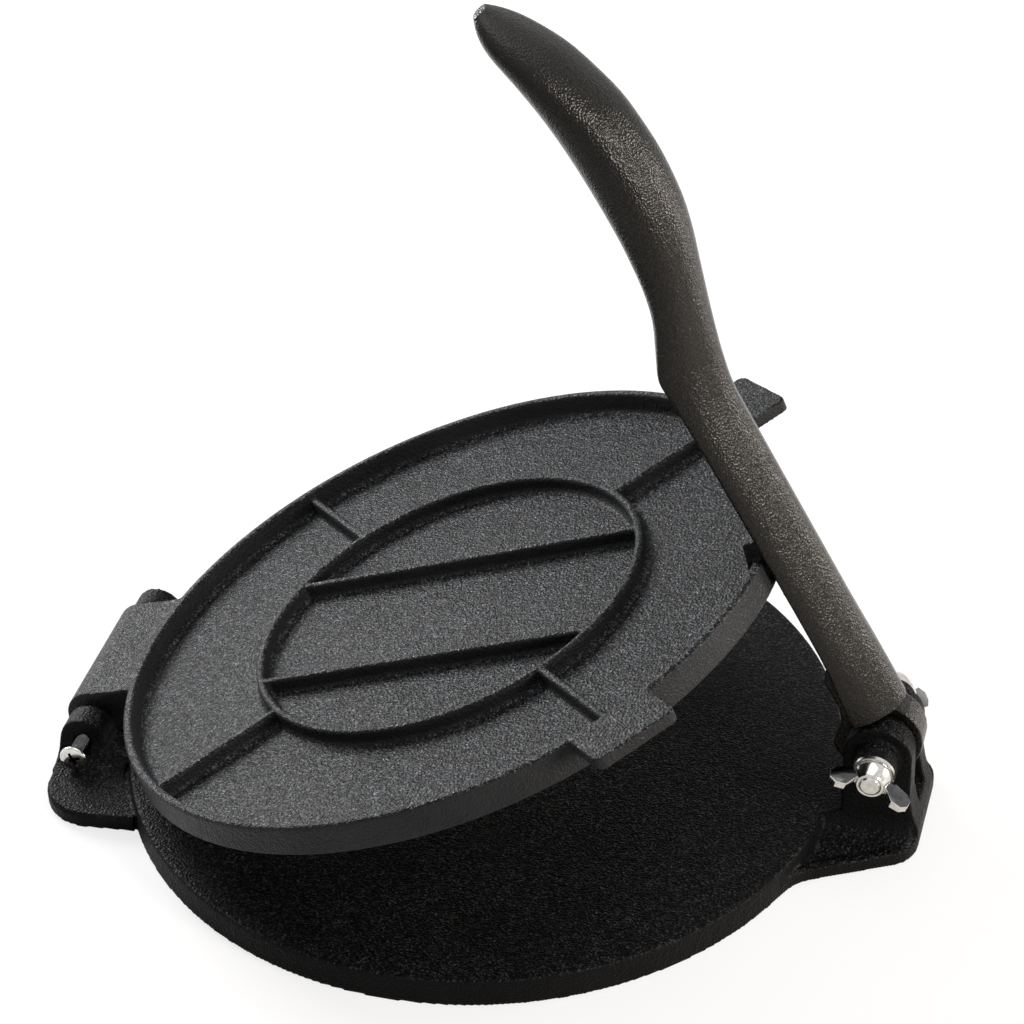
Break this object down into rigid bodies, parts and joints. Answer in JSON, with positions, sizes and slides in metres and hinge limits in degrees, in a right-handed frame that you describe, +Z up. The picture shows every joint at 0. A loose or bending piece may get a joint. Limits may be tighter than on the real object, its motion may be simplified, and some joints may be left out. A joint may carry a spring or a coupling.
{
  "type": "tortilla press",
  "caption": "Cast iron tortilla press: a round ribbed upper plate hinged at the back of a base plate, with a folding lever at the front that presses them together.",
  "frame": {"origin": "centre of the base plate at the level that the press stands on", "axes": "+X from the hinge to the lever, +Y to the far side, +Z up"},
  "size_m": [0.321, 0.2668, 0.3108],
  "materials": {
    "plate_iron": "seasoned sand-cast iron, fine grain, satin",
    "lever_iron": "seasoned sand-cast iron, fine grain, satin",
    "plated_steel": "bright nickel-plated"
  },
  "bodies": {
    "base": {"base": "plate_iron", "pivot_stud": "plated_steel", "washer_near": "plated_steel", "washer_far": "plated_steel"},
    "upper_plate": {"upper_plate": "plate_iron", "hinge_screw_near": "plated_steel", "hinge_screw_far": "plated_steel"},
    "lever": {"lever": "lever_iron"},
    "wing_nut_near": {"wing_nut_near": "plated_steel"},
    "wing_nut_far": {"wing_nut_far": "plated_steel"}
  },
  "joints": [
    {"name": "plate_hinge", "type": "hinge", "parent": "base", "child": "upper_plate", "pos_m": [-0.1438, 0, 0.01185], "axis": [0, -1, 0], "range_deg": [-20.6, 92]},
    {"name": "lever_pivot", "type": "hinge", "parent": "base", "child": "lever", "pos_m": [0.1493, 0, 0.0385], "axis": [0, -1, 0], "range_deg": [-115, 0]},
    {"name": "near_nut_turn", "type": "hinge", "parent": "base", "child": "wing_nut_near", "pos_m": [0.1493, 0, 0.0385], "axis": [0, -1, 0], "continuous": true},
    {"name": "far_nut_turn", "type": "hinge", "parent": "base", "child": "wing_nut_far", "pos_m": [0.1493, 0, 0.0385], "axis": [0, 1, 0], "continuous": true}
  ]
}
